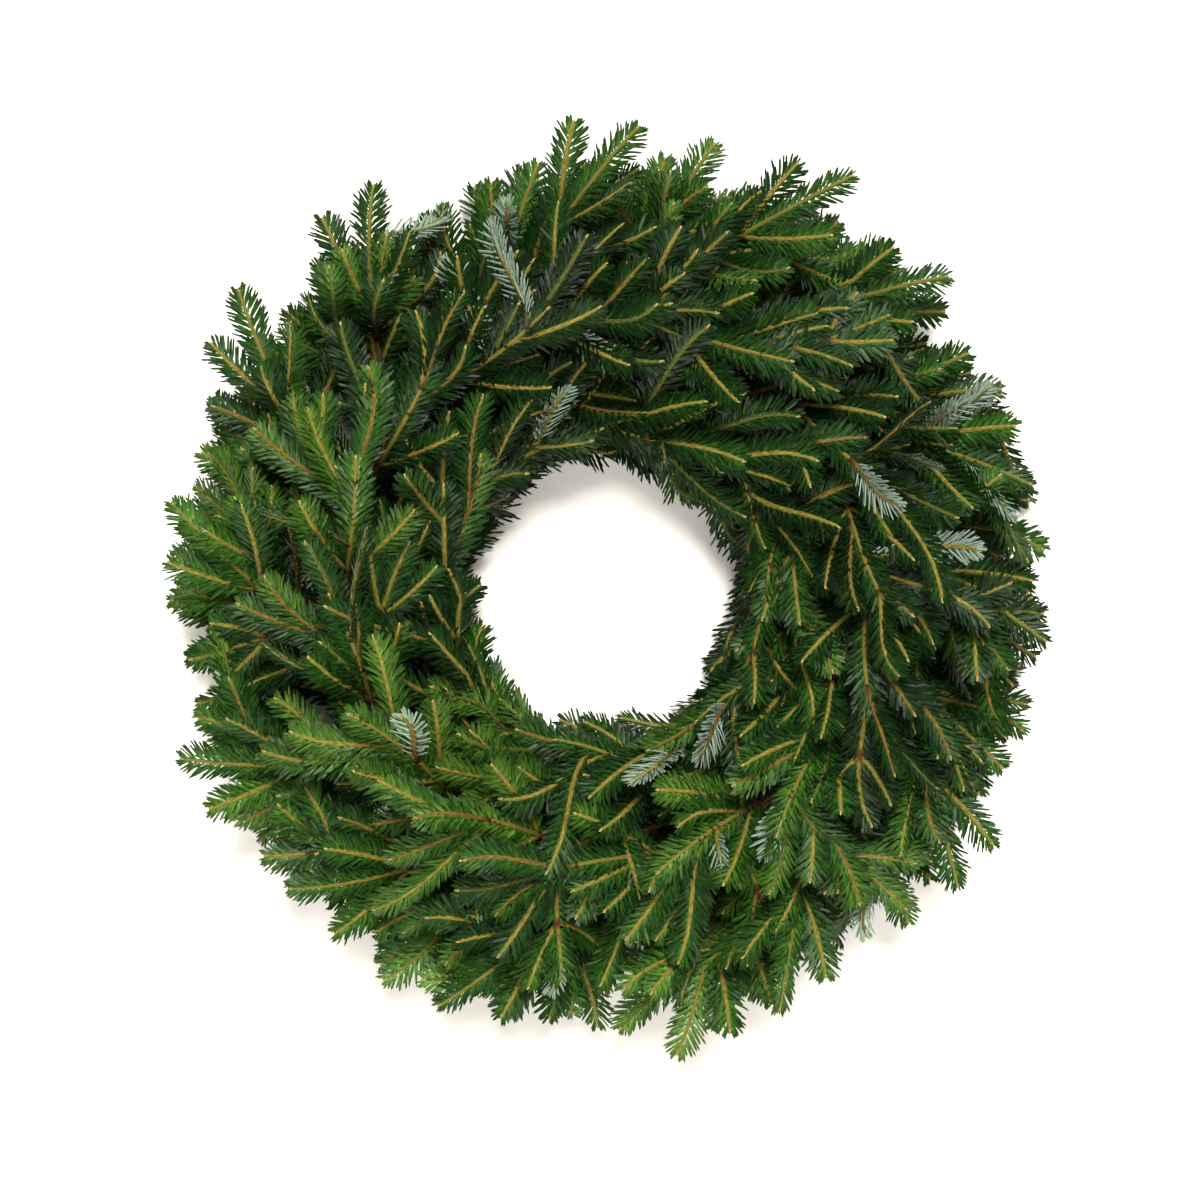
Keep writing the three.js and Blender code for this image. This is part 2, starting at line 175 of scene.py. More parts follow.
def colour(hexcode):
    """A colour written as sRGB hex, in linear light with alpha 1."""
    srgb = np.array([int(hexcode[i : i + 2], 16) for i in (0, 2, 4)]) / 255
    linear = np.where(srgb <= 0.04045, srgb / 12.92, ((srgb + 0.055) / 1.055) ** 2.4)
    return (*linear, 1)


def add_node(tree, kind, inputs=None, **settings):
    """Adds a node of that kind, sets its properties, and fills its inputs with values or links."""
    node = tree.nodes.new("ShaderNode" + kind)
    for name, value in settings.items():
        setattr(node, name, value)
    for name, value in (inputs or {}).items():
        if isinstance(value, bpy.types.NodeSocket):
            tree.links.new(value, node.inputs[name])
        else:
            node.inputs[name].default_value = value
    return node


def new_material(name):
    """An empty material, and its tree with a shader wired to the output."""
    material = bpy.data.materials.new(name)
    material.use_nodes = True
    tree = material.node_tree
    return material, tree, tree.nodes["Principled BSDF"].inputs


def ramp(tree, value, stops):
    """A colour ramp of (position, sRGB hex) stops over a value, as a colour output."""
    node = add_node(tree, "ValToRGB", {"Fac": value})
    elements = node.color_ramp.elements
    while len(elements) < len(stops):
        elements.new(1)
    for element, (position, hexcode) in zip(elements, stops):
        element.position = position
        element.color = colour(hexcode)
    return node.outputs["Color"]


MIX_SOCKETS = (0, 6, 7)  # a Mix node's factor and its two colours
MIX_RESULT = 2


def mixed(tree, factor, a, b, blend="MIX"):
    """Colour a blended with colour b by that factor."""
    node = add_node(tree, "Mix", {}, data_type="RGBA", blend_type=blend)
    for index, value in zip(MIX_SOCKETS, (factor, a, b)):
        if isinstance(value, bpy.types.NodeSocket):
            tree.links.new(value, node.inputs[index])
        else:
            node.inputs[index].default_value = value
    return node.outputs[MIX_RESULT]


def dipped_paint():
    """Alkyd paint on drawn steel wire: satin, thicker in the bends, rubbed to bare metal in specks."""
    material, tree, shader = new_material("green_dipped_wire")
    place = add_node(tree, "TexCoord").outputs["Object"]
    specks = add_node(tree, "TexNoise", {"Vector": place, "Scale": WORN_SCALE, "Detail": 5})
    stops = [(0, GREEN_PAINT), (WORN_AT[0], GREEN_PAINT), (WORN_AT[1], STEEL)]
    worn = ramp(tree, specks.outputs["Fac"], stops)
    tree.links.new(worn, shader["Base Color"])
    drips = add_node(tree, "TexNoise", {"Vector": place, "Scale": DRIP_SCALE})
    bump = add_node(tree, "Bump", {"Height": drips.outputs["Fac"], "Distance": DRIP_HEIGHT})
    tree.links.new(bump.outputs["Normal"], shader["Normal"])
    shader["Roughness"].default_value = 0.38
    return material


NO_POINTS = np.zeros((0, 3))  # of a chunk whose faces are on the points of the chunk before it


def make_piece(name, chunks, materials):
    """One mesh of several chunks, each (points, faces with equal corners, UV of each corner, material
    slot, smooth). Faces count from their chunk's first point, and those on the points before it count
    down from 0. The mesh is moved from the ring's axis to its place in the frame."""
    starts = np.cumsum([0] + [len(points) for points, *_ in chunks])
    mesh = bpy.data.meshes.new(name)
    mesh.vertices.add(starts[-1])
    mesh.vertices.foreach_set("co", (np.vstack([c[0] for c in chunks]) + AXIS).astype(np.float32).ravel())
    corners = np.concatenate([(c[1] + start).ravel() for c, start in zip(chunks, starts)])
    totals = np.concatenate([np.full(len(c[1]), c[1].shape[1]) for c in chunks])
    mesh.loops.add(len(corners))
    mesh.loops.foreach_set("vertex_index", corners)
    mesh.polygons.add(len(totals))
    mesh.polygons.foreach_set("loop_start", np.concatenate([[0], np.cumsum(totals)[:-1]]))
    mesh.polygons.foreach_set("material_index", np.concatenate([np.full(len(c[1]), c[3]) for c in chunks]))
    mesh.polygons.foreach_set("use_smooth", np.concatenate([np.full(len(c[1]), c[4]) for c in chunks]))
    mesh.update(calc_edges=True)
    if chunks[0][2] is not None:
        uv = np.concatenate([c[2].reshape(-1, 2) for c in chunks]).astype(np.float32)
        mesh.uv_layers.new(name="OFBake").data.foreach_set("uv", uv.ravel())
    mesh.validate()
    piece = bpy.data.objects.new(name, mesh)
    bpy.context.scene.collection.objects.link(piece)
    for material in materials:
        mesh.materials.append(material)
    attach(piece, "root")
    return piece


def wire_chunks(bar):
    """A bar's quads and its end fans as chunks with no UV."""
    points, quads, fans = bar
    return [(points, quads, None, 0, True), (NO_POINTS, fans - len(points), None, 0, True)]


turns = np.arange(RAIL_POINTS) * 2 * np.pi / RAIL_POINTS
circle = np.stack([np.cos(turns), np.sin(turns), turns * 0], -1)
ring_chunks = []
for radius in RAIL_RADII:
    ring_chunks += wire_chunks(round_bar(circle * radius + [0, 0, RAIL_Z], RAIL_WIRE, [0, 0, 1], closed=True))
for bunch in range(CLAMPS):
    path = rounded(clamp_corners(bunch), BEND_RADIUS)
    ring_chunks += wire_chunks(round_bar(path, CLAMP_WIRE, clockwise(clamp_angle(bunch))))
    for radius in RAIL_RADII:
        spot = radial(clamp_angle(bunch)) * radius + [0, 0, clamp_z(bunch) + 2 * CLAMP_WIRE]
        ring_chunks += wire_chunks(weld_bead(spot))
wire_ring = make_piece("clamp_ring", ring_chunks, [dipped_paint()])
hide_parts("ring_frame")

# ---- The fir boughs ----
# Each bough is one cut fir branch: a woody stem whose shoots fork off in tridents, with flat needles
# combed to both sides and buds at the tips. Four boughs of a bunch are laid side by side in a clamp.
STEM_SEAT = 6.7 * MM  # a stem's centre above its bar's underside
STEM_PITCH = 6.9 * MM
STEM_BEHIND = 18 * MM
STEM_AHEAD = 12 * MM
BUTT_RADIUS = 3.4 * MM
FORK_RADIUS = 2.3 * MM
TIP_RADIUS = 1.2 * MM
FORK_SHARE = 0.55  # of a stem's length, where it has that radius
CLAMPED = STEM_BEHIND + STEM_AHEAD  # the straight part of a stem, under its clamp and just past it
LEAD = 55 * MM  # how far a bough keeps its clamp's direction, and rises on the way
LEAD_RISE = 13 * MM
TRAIL = 75 * MM  # how far back from its tip it takes the tip's
FORK_BACK = 84 * MM
SHOOT_LENGTH = 66 * MM
SHOOT_DRIFT = 6 * MM
FAN_DRIFT = 5  # degrees
FAN_BEND = 0.6  # a shoot bends forward to this share of its fan
DOME_RADIUS = 195 * MM
DOME_WIDTH = 110 * MM
DOME_TILT = 0.8  # how far up leans out, one dome width from the top
# From the hole to the rim. tip is (radius, height) in mm; sweep, how far round from its clamp the tip
# lies, heading, from the radius towards clockwise, slope and fan are in degrees.
LANES = {
    "inner": {"tip": (107, 60), "sweep": 58, "heading": 84, "slope": 0, "sides": (-1,), "fan": 34},
    "crown": {"tip": (188, 110), "sweep": 53, "heading": 58, "slope": 4, "sides": (-1, 1), "fan": 38},
    "outer": {"tip": (300, 80), "sweep": 37, "heading": 36, "slope": -4, "sides": (-1, 1), "fan": 34},
    "rim": {"tip": (300, 44), "sweep": 24, "heading": 28, "slope": -6, "sides": (-1, 1), "fan": 34},
}
# How unevenly hand work leaves the tips: degrees round, mm out, mm up and degrees of heading.
TURN_DRIFT = 3
REACH_DRIFT = 5
HEIGHT_DRIFT = 8
EDGE_HEIGHT_DRIFT = 12
HEADING_DRIFT = 7
# The wreath's own outline, clamp by clamp: each tip's extra turn in degrees and its reach in mm.
OUTLINE = {
    "outer": (
        [-3, 0, -5, 3, 5, -7, -2, -3, -7, 0, 2, -3, 5, 6],
        [307, 290, 292, 303, 298, 311, 297, 288, 303, 294, 316, 312, 308, 318],
    ),
    "rim": (
        [2, 0, -4, 0, -2, 1, 3, -7, -3, 7, 2, -1, 5, 2],
        [298, 298, 295, 290, 301, 301, 295, 303, 297, 296, 296, 297, 292, 310],
    ),
}
# The ways a forked shoot may turn to pass its neighbours: a share of its fan, and degrees up.
SHOOT_WAYS = [(1, 0), (0.8, 8), (1.2, -8), (0.8, -16), (0.6, 16), (1.3, 16), (0.6, -28), (0.7, 30)]
SHOOT_MISS = 1.5 * MM  # a shoot that the CAD node has ends this near to one of its corners
COURSE_POINTS = 80
COURSE_STEP = 0.4 * MM
# What a draw is for, so that no two are alike. A shoot's two have its hand, 1 or -1, added.
TURN_USE, REACH_USE, HEIGHT_USE, HEADING_USE = 1, 2, 3, 4
LENGTH_USE, FAN_USE = 10, 14
DRAW_WAVE = (127.1, 311.7, 74.7, 5.3)  # the sine's steps for bunch, lane and use, and its start
DRAW_SIZE = 43758.5453


def draw(bunch, lane, use):
    """A repeatable draw between -1 and 1: the fraction of a large sine."""
    by_bunch, by_lane, by_use, start = DRAW_WAVE
    x = np.sin(bunch * by_bunch + lane * by_lane + use * by_use + start) * DRAW_SIZE
    return 2 * (x - np.floor(x)) - 1


def course_of(points):
    """A line with the distance along it at each point, as (distances, points)."""
    steps = np.linalg.norm(np.diff(points, axis=0), axis=1)
    return np.concatenate([[0], np.cumsum(steps)]), points


def places(course, s):
    """The points at those distances along a course, in a straight line between its own points."""
    return np.stack([np.interp(s, course[0], axis) for axis in course[1].T], -1)


def frames(course, s, straight=0.0, roll=0.0, tilt=DOME_TILT):
    """At those distances: the point, ahead, side and up. Up leans out from the top of the dome by tilt,
    and is then rolled about ahead by roll degrees. In the clamp, straight long, it is level."""
    s = np.clip(np.asarray(s, float), COURSE_STEP, course[0][-1] - COURSE_STEP)
    point = places(course, s)
    ahead = unit(places(course, s + COURSE_STEP) - places(course, s - COURSE_STEP))
    r = np.linalg.norm(point[:, :2], axis=1)
    free = np.clip((s - straight) / LEAD, 0, 1) if straight else 1
    lean = free * tilt * (r - DOME_RADIUS) / DOME_WIDTH
    up = np.stack([point[:, 0] / r * lean, point[:, 1] / r * lean, np.ones(len(s))], -1)
    up = unit(up - ahead * np.sum(up * ahead, -1, keepdims=True))
    side = np.cross(ahead, up)
    a = np.radians(roll)
    return point, ahead, side * np.cos(a) + up * np.sin(a), up * np.cos(a) - side * np.sin(a)


def main_course(bunch, lane_name):
    """A stem: straight under its clamp, then one cubic curve up and round to its tip."""
    lane = list(LANES).index(lane_name)
    plan = LANES[lane_name]
    angle = clamp_angle(bunch)
    seat_radius = np.mean(RAIL_RADII) + (lane - (len(LANES) - 1) / 2) * STEM_PITCH
    seat = radial(angle) * seat_radius + [0, 0, clamp_z(bunch) + STEM_SEAT]
    turn = TURN_DRIFT * draw(bunch, lane, TURN_USE)
    reach = plan["tip"][0] + REACH_DRIFT * draw(bunch, lane, REACH_USE)
    drift = HEIGHT_DRIFT
    if lane_name in OUTLINE:
        turn, reach = (row[bunch] for row in OUTLINE[lane_name])
        drift = EDGE_HEIGHT_DRIFT
    height = plan["tip"][1] + drift * draw(bunch, lane, HEIGHT_USE)
    heading = np.radians(plan["heading"] + HEADING_DRIFT * draw(bunch, lane, HEADING_USE))
    slope = np.radians(plan["slope"])
    tip_angle = angle - np.radians(plan["sweep"] + turn)
    tip = radial(tip_angle) * reach * MM + [0, 0, height * MM]
    last = (radial(tip_angle) * np.cos(heading) + clockwise(tip_angle) * np.sin(heading)) * np.cos(slope)
    last[2] = np.sin(slope)
    along = clockwise(angle)
    leave = seat + along * STEM_AHEAD
    t = np.linspace(0, 1, COURSE_POINTS)[:, None]
    handles = (leave, leave + along * LEAD + [0, 0, LEAD_RISE], tip - last * TRAIL, tip)
    bend = (1 - t) ** 3 * handles[0] + 3 * t * (1 - t) ** 2 * handles[1]
    bend = bend + 3 * t**2 * (1 - t) * handles[2] + t**3 * handles[3]
    return course_of(np.vstack([seat - along * STEM_BEHIND, bend]))


def shoot_line(main, back, length, hand, fan, lift, straight=CLAMPED, roll=0.0):
    """A side shoot: a quadratic curve that leaves the stem at that fan, rises by lift degrees, and
    bends forward."""
    (point,), (ahead,), (side,), (up,) = frames(main, [main[0][-1] - back], straight, roll)
    rise = up * np.sin(np.radians(lift))
    first, second = (
        unit(ahead * np.cos(a) + side * hand * np.sin(a) + rise) for a in np.radians([fan, fan * FAN_BEND])
    )
    middle = point + first * length / 2
    end = middle + second * length / 2
    t = np.linspace(0, 1, COURSE_POINTS // 2)[:, None]
    return (1 - t) ** 2 * point + 2 * t * (1 - t) * middle + t**2 * end


def forked_shoot(bunch, lane_name, hand, main, node_points):
    """The shoot of the CAD node on that side: of the ways it may turn, the one that ends where the
    node has a corner, or none."""
    lane = list(LANES).index(lane_name)
    length = SHOOT_LENGTH + SHOOT_DRIFT * draw(bunch, lane, LENGTH_USE + hand)
    fan = LANES[lane_name]["fan"] + FAN_DRIFT * draw(bunch, lane, FAN_USE + hand)
    tries = [shoot_line(main, FORK_BACK, length, hand, fan * share, lift) for share, lift in SHOOT_WAYS]
    misses = [np.linalg.norm(node_points - line[-1], axis=1).min() for line in tries]
    best = int(np.argmin(misses))
    return tries[best] if misses[best] < SHOOT_MISS else None


# The other shoots lie like shingles over the whole ring, each grown from the stem that passes nearest.
# They follow the swirl: heading, from the radius towards clockwise, and the height of the tips, by radius.
SWIRL = ((95, 135, 195, 250, 300), (90, 72, 50, 32, 20))
DOME = ((95, 120, 160, 195, 240, 280, 300), (50, 80, 106, 114, 98, 66, 48))
ROWS = (103, 131, 160, 192, 224, 252, 272, 286)  # radii of the tips, in mm
# In mm: height over the dome, here below it, pitch from tip to tip, needle pitch. Then the share that
# is forked.
LAYERS = {"top": (-2, 42, 0.95, 0.17), "under": (-33, 31, 1.3, 0), "deep": (-62, 37, 1.5, 0)}
LAID_LENGTH = (58 * MM, 78 * MM)
FORKED_LENGTH = (92 * MM, 112 * MM)
LATERAL_LENGTH = (38 * MM, 50 * MM)
LATERAL_FAN = 42  # degrees, as its drift and that of its lift
LATERAL_FAN_DRIFT = 6
LATERAL_LIFT_DRIFT = 8
LAID_TILT = 0.3  # in place of DOME_TILT
TWISTED_SHARE = 0.07  # of the top shoots are turned over, so that their silver undersides show
TWISTED_LENGTH = (34 * MM, 50 * MM)
TWIST = (105, 150)  # degrees
LEAST_TOP_DEPTH = -20  # mm: a shallower layer is the top one
# The unevenness of hand work: a tip's place in its row in pitches, its radius and height in mm, then its
# heading and its roll in degrees. Its rise over the dome's slope is in degrees too, with its drift.
ROW_DRIFT = 0.3
RADIUS_DRIFT = 10
DEPTH_DRIFT = 8
SWIRL_DRIFT = 20
ROLL_DRIFT = 32
TIP_RISE = (14, 8)
DOME_SHARE = 0.5  # of the dome's slope, which the tips follow
LOWEST_TIP = 12
# A shoot roots at least this far up its stem and this far from its tip, at the best of many points.
ROOT_AFTER = 50 * MM
ROOT_BEFORE = 15 * MM
ROOT_STEP = 4 * MM
ROOT_DROP = 10 * MM  # it comes up from below
TURN_COST = 40 * MM  # what a quarter turn between stem and shoot counts as
TIP_PULL = 1.6  # how much of its way out is straight to its tip, against 1 along the stem
ROOT_REACH, END_REACH = 0.3, 0.4  # of its span, how long it keeps each direction
SHOOT_TONE_DRIFT = 0.12
# Painted shade: shoots that lie deeper under the dome get darker needles.
DEPTH_SHADE = 0.004  # darker for each mm under the dome
YOUNG_BARKS = ["golden", "golden", "olive", "tan"]  # the kinds of bark of the laid shoots
HOLE_RADIUS = 107 * MM  # twigs are kept this far from the axis, and their needles reach in from there
# The hole isn't quite round: how often each wave repeats round it, and how high it is.
HOLE_WAVES = ((1, -6 * MM), (2, 2 * MM), (3, 2.5 * MM), (5, 2 * MM))
HOLE_POKE = 20 * MM  # how far a tip may poke in
POKE_POWER = 3  # most tips poke in less, and only their ends do
FLOOR_Z = 9 * MM  # twigs are kept between this height and the next
CEILING_Z = 122 * MM
NEEDLE_FLOOR = 3 * MM  # no needle tip lies lower


def hole_wave(angle):
    """How far the hole's edge lies outside its circle at that angle: a few slow sine waves."""
    return sum(height * np.sin(times * angle + times**2) for times, height in HOLE_WAVES)


def kept_in(line):
    """Points of a twig pushed out of the hole, into which only its tip may poke, and kept between two
    heights."""
    r = np.linalg.norm(line[:, :2], axis=1)
    edge = HOLE_RADIUS + hole_wave(np.arctan2(line[:, 1], line[:, 0]))
    limit = edge - HOLE_POKE * np.linspace(0, 1, len(line)) ** POKE_POWER
    line[:, :2] *= (np.maximum(limit, r) / r)[:, None]
    line[:, 2] = np.clip(line[:, 2], FLOOR_Z, CEILING_Z)
    return line


def laid_tips(depth, pitch, rng):
    """The tips and end directions of one layer: rows of them round the ring, a pitch apart, each set
    off by half a pitch from the next row, with the drawn unevenness of hand work."""
    tips, ends = [], []
    for row, radius in enumerate(ROWS):
        count = round(2 * np.pi * radius / pitch)
        k = np.arange(count)
        angle = 2 * np.pi * (k + 0.5 * (row % 2) + rng.uniform(-ROW_DRIFT, ROW_DRIFT, count)) / count
        r = radius + rng.uniform(-RADIUS_DRIFT, RADIUS_DRIFT, count)
        r = r + (row == 0) * (hole_wave(angle) - HOLE_POKE * rng.random(count) ** POKE_POWER) / MM
        heading = np.radians(np.interp(r, *SWIRL) + rng.normal(0, SWIRL_DRIFT, count))
        height = np.interp(r, *DOME)
        fall = (np.interp(r + 1, *DOME) - height) * np.cos(heading)
        slope = np.arctan(fall) * DOME_SHARE + np.radians(rng.normal(*TIP_RISE, count))
        out = np.stack([np.cos(angle), np.sin(angle), angle * 0], -1)
        round_it = np.stack([np.sin(angle), -np.cos(angle), angle * 0], -1)
        end = out * np.cos(heading)[:, None] + round_it * np.sin(heading)[:, None]
        end = end * np.cos(slope)[:, None] + [0, 0, 1] * np.sin(slope)[:, None]
        z = np.maximum(height + depth + rng.normal(0, DEPTH_DRIFT, count), LOWEST_TIP)
        tips.append(out * r[:, None] * MM + [0, 0, MM] * z[:, None])
        ends.append(end)
    return np.vstack(tips), np.vstack(ends)


def laid_shoots(courses, rng):
    """For each stem, the shoots that are laid from it, as (line, bark, needle pitch, roll, tone). A
    shoot's root is the stem point that lies nearest to one shoot length behind its tip, counting a turn
    as distance. It is a cubic curve that leaves towards its tip and arrives in its own end direction.
    A forked one has two more shoots half way along."""
    stems = []
    for key, course in courses.items():
        s = np.arange(ROOT_AFTER, course[0][-1] - ROOT_BEFORE, ROOT_STEP)
        point, ahead, _, _ = frames(course, s, CLAMPED)
        stems.append((np.full(len(s), key), point, ahead))
    owners, points, aheads = (np.concatenate(part) for part in zip(*stems))
    laid = {key: [] for key in courses}
    t = np.linspace(0, 1, COURSE_POINTS // 2)[:, None]
    for depth, pitch, needle_pitch, forked_share in LAYERS.values():
        for tip, end in zip(*laid_tips(depth, pitch, rng)):
            twisted = depth > LEAST_TOP_DEPTH and rng.random() < TWISTED_SHARE
            forked = not twisted and rng.random() < forked_share
            lengths = FORKED_LENGTH if forked else TWISTED_LENGTH if twisted else LAID_LENGTH
            wanted = tip - end * rng.uniform(*lengths) - [0, 0, ROOT_DROP]
            cost = np.linalg.norm(points - wanted, axis=1) + TURN_COST * (1 - aheads @ end)
            best = int(np.argmin(cost))
            root = points[best]
            span = np.linalg.norm(tip - root)
            leaving = unit(aheads[best] + TIP_PULL * unit(tip - root))
            handles = (root, root + leaving * span * ROOT_REACH, tip - end * span * END_REACH, tip)
            line = (1 - t) ** 3 * handles[0] + 3 * t * (1 - t) ** 2 * handles[1]
            line = line + 3 * t**2 * (1 - t) * handles[2] + t**3 * handles[3]
            line = kept_in(line)
            roll = rng.choice([-1, 1]) * rng.uniform(*TWIST) if twisted else rng.normal(0, ROLL_DRIFT)
            # A shoot's tone drifts at random, and painted shade darkens it the deeper it lies.
            tone = SHOOT_TONE_DRIFT * rng.normal() - DEPTH_SHADE * abs(depth)
            bark = "forked" if forked else str(rng.choice(YOUNG_BARKS))
            shoots = laid[owners[best]]
            shoots.append((line, bark, needle_pitch * MM, roll, tone))
            if forked:
                course = course_of(line)
                for hand in (-1, 1):
                    fan = LATERAL_FAN + rng.normal(0, LATERAL_FAN_DRIFT)
                    reach = rng.uniform(*LATERAL_LENGTH)
                    lift = rng.normal(0, LATERAL_LIFT_DRIFT)
                    lateral = shoot_line(course, course[0][-1] / 2, reach, hand, fan, lift, 0, roll)
                    shoots.append((kept_in(lateral), "golden", needle_pitch * MM, roll, tone))
    return laid


# Needles: flat blades 1.75 mm wide, dark and waxed on top, with two pale bands of breathing pores below.
NEEDLE_LENGTH = 16 * MM
NEEDLE_WIDTH = 1.75 * MM
NEEDLE_DEPTH = 0.6 * MM
# Where a blade has its two cross-sections, in shares of its length, then its width and its depth there.
NEEDLE_STATIONS = np.array([0.28, 0.86])
NEEDLE_WIDTHS = np.array([0.95, 0.85])
NEEDLE_DEPTHS = np.array([1.0, 0.6])
# Ranks by their place round the twig, all in degrees: where they root, up from the side, their lean
# from the twig and their rise, then their share of the length.
RANKS = np.array(
    [
        [36, 46, 10, 0.74],
        [2, 58, -12, 1.0],
        [-30, 56, -34, 0.96],
        [16, 54, -2, 0.88],
        [46, 34, 24, 0.5],
    ]
)
LEAN_DRIFT = 5  # degrees, as the next two
RISE_DRIFT = 6
TILT_DRIFT = 9
PITCH_DRIFT = 0.4  # of the pitch
LENGTHS = (0.88, 1.08)  # from the least to the most, in shares of a needle's own
WIDTHS = (0.85, 1.1)
CURL = (0.14, 0.06)  # of its length, how far a tip bends ahead and up
NEEDLE_ROOT = 0.84 * MM  # from the twig's middle, in its bark
FORK_BARE = 3.5 * MM  # each way from a fork
TIP_BARE = 1 * MM
STEEPEST = 0.9  # the sine of the steepest rise that the floor can force on a needle
LEAST_FLAT = 1e-6  # keeps an upright needle from dividing by zero
# The first needles of a shoot are short, and those near its tip close in round the bud.
START_OVER = 12 * MM
START_SIZE = 0.6
CLOSE_OVER = 14 * MM
CLOSE_BY = 0.6
CLOSE_POWER = 1.4
LAST_NEEDLES = np.arange(1, 5) * 0.7 * MM  # those round the bud, back from the tip
# Tone goes from 0, dark, to 1: how much it grows along a shoot and at its tip, and its drift.
TONE_ALONG = 0.28
TONE_AT_TIP = 0.1
NEEDLE_TONE_DRIFT = 0.08
NEEDLE_CELLS = 32  # tones, side by side across the map
NEEDLE_MAP = (0.26, 1.0)  # the part of the map's height that the needles have
TOP_SPAN = (0.06, 0.44)  # of a cell: the blade's top from its left edge to its right
UNDER_SPAN = (0.5, 0.94)  # and its underside from right to left, the keel half way


def needle_faces():
    """The 9 faces of one blade: 0 is its root, then left, right and keel at each station, and last
    its tip. With each, the (across, along) of its corners in a map cell."""
    left, right, keel, tip = (1, 4), (2, 5), (3, 6), 7
    t = (0.0, *NEEDLE_STATIONS, 1.0)
    spans = (
        (left, right, *TOP_SPAN),
        (right, keel, UNDER_SPAN[0], np.mean(UNDER_SPAN)),
        (keel, left, np.mean(UNDER_SPAN), UNDER_SPAN[1]),
    )
    triangles, quads, triangle_uv, quad_uv = [], [], [], []
    for a, b, ua, ub in spans:
        middle = (ua + ub) / 2
        triangles.append((0, b[0], a[0]))
        triangle_uv.append([(middle, t[0]), (ub, t[1]), (ua, t[1])])
        quads.append((a[0], b[0], b[1], a[1]))
        quad_uv.append([(ua, t[1]), (ub, t[1]), (ub, t[2]), (ua, t[2])])
        triangles.append((a[1], b[1], tip))
        triangle_uv.append([(ua, t[2]), (ub, t[2]), (middle, t[3])])
    return tuple(np.array(x) for x in (triangles, quads, triangle_uv, quad_uv))


TRIANGLES, QUADS, TRIANGLE_UV, QUAD_UV = needle_faces()
BLADE_POINTS = 8


def blade_chunks(root, aim, top, length, width, curl, cell):
    """All blades of a bough at once. A blade's middle line is root + aim * length * t + curl * t^2, and
    at each station its edges lie half a width across and its keel under it."""
    t = NEEDLE_STATIONS[None, :, None]
    middle = root[:, None] + aim[:, None] * length[:, None, None] * t + curl[:, None] * t**2
    across = np.cross(aim, top)[:, None] * (width[:, None] * NEEDLE_WIDTHS / 2)[..., None]
    under = top[:, None] * (NEEDLE_DEPTH * NEEDLE_DEPTHS)[None, :, None]
    sections = np.stack([middle - across, middle + across, middle - under], 2).reshape(len(root), 6, 3)
    tip = root + aim * length[:, None] + curl
    points = np.concatenate([root[:, None], sections, tip[:, None]], 1).reshape(-1, 3)
    first = (np.arange(len(root)) * BLADE_POINTS)[:, None, None]

    def on_map(uv):
        across_map = (cell[:, None, None] + uv[None, ..., 0]) / NEEDLE_CELLS
        along_map = NEEDLE_MAP[0] + (NEEDLE_MAP[1] - NEEDLE_MAP[0]) * uv[None, ..., 1]
        return np.stack([across_map, np.broadcast_to(along_map, across_map.shape)], -1)

    triangles = (TRIANGLES[None] + first).reshape(-1, 3)
    quads = (QUADS[None] + first).reshape(-1, 4)
    triangle_uv = on_map(TRIANGLE_UV).reshape(-1, 3, 2)
    quad_uv = on_map(QUAD_UV).reshape(-1, 4, 2)
    return [(points, triangles, triangle_uv, 0, False), (NO_POINTS, quads - len(points), quad_uv, 0, False)]


def combed_needles(course, bare, fork, pitch, roll, tilt, tone, rng):
    """The needles of one shoot, a pitch apart on both sides, from bare to its tip but for the fork.
    Gives what blade_chunks wants."""
    length = course[0][-1]
    s = np.repeat(np.append(np.arange(bare, length - TIP_BARE, pitch), length - LAST_NEEDLES), 2)
    s = s + rng.uniform(-PITCH_DRIFT, PITCH_DRIFT, len(s)) * pitch
    hand = np.tile([-1.0, 1.0], len(s) // 2)
    rank = RANKS[(np.arange(len(s)) // 2 + rng.integers(0, len(RANKS))) % len(RANKS)]
    kept = np.abs(s - fork) > FORK_BARE
    s, hand, rank = s[kept], hand[kept], rank[kept]
    point, ahead, side, up = frames(course, s, 0, roll, tilt)
    closing = np.clip(1 - (length - s) / CLOSE_OVER, 0, 1)
    closed = 1 - CLOSE_BY * closing**CLOSE_POWER
    lean = rank[:, 1] * closed + rng.normal(0, LEAN_DRIFT, len(s))
    rise = rank[:, 2] + rng.normal(0, RISE_DRIFT, len(s))
    seat, lean, rise = (np.radians(x)[:, None] for x in (rank[:, 0], lean, rise))
    out = side * hand[:, None]
    aim = unit(ahead * np.cos(lean) + (out * np.cos(rise) + up * np.sin(rise)) * np.sin(lean))
    root = point + (out * np.cos(seat) + up * np.sin(seat)) * NEEDLE_ROOT
    start = START_SIZE + (1 - START_SIZE) * np.clip((s - bare) / START_OVER, 0, 1)
    size = NEEDLE_LENGTH * rank[:, 3] * start * closed * rng.uniform(*LENGTHS, len(s))
    curl = (ahead * CURL[0] + up * CURL[1]) * size[:, None]
    lowest = np.clip((NEEDLE_FLOOR - root[:, 2] - curl[:, 2]) / size, -1, STEEPEST)
    raised = np.maximum(aim[:, 2], lowest)
    flatter = np.sqrt((1 - raised**2) / np.maximum(1 - aim[:, 2] ** 2, LEAST_FLAT))
    aim = np.stack([aim[:, 0] * flatter, aim[:, 1] * flatter, raised], -1)
    twist = np.radians(rng.normal(0, TILT_DRIFT, len(s)))[:, None]
    flat = unit(up - aim * np.sum(up * aim, -1, keepdims=True))
    top = unit(flat * np.cos(twist) + np.cross(aim, flat) * np.sin(twist))
    shade = tone + TONE_ALONG * (s / length - 0.5) + TONE_AT_TIP * closing
    shade = shade + rng.normal(0, NEEDLE_TONE_DRIFT, len(s))
    cell = np.clip(shade * NEEDLE_CELLS, 0, NEEDLE_CELLS - 1).astype(int)
    width = NEEDLE_WIDTH * rng.uniform(*WIDTHS, len(s))
    return root, aim, top, size, width, curl, cell


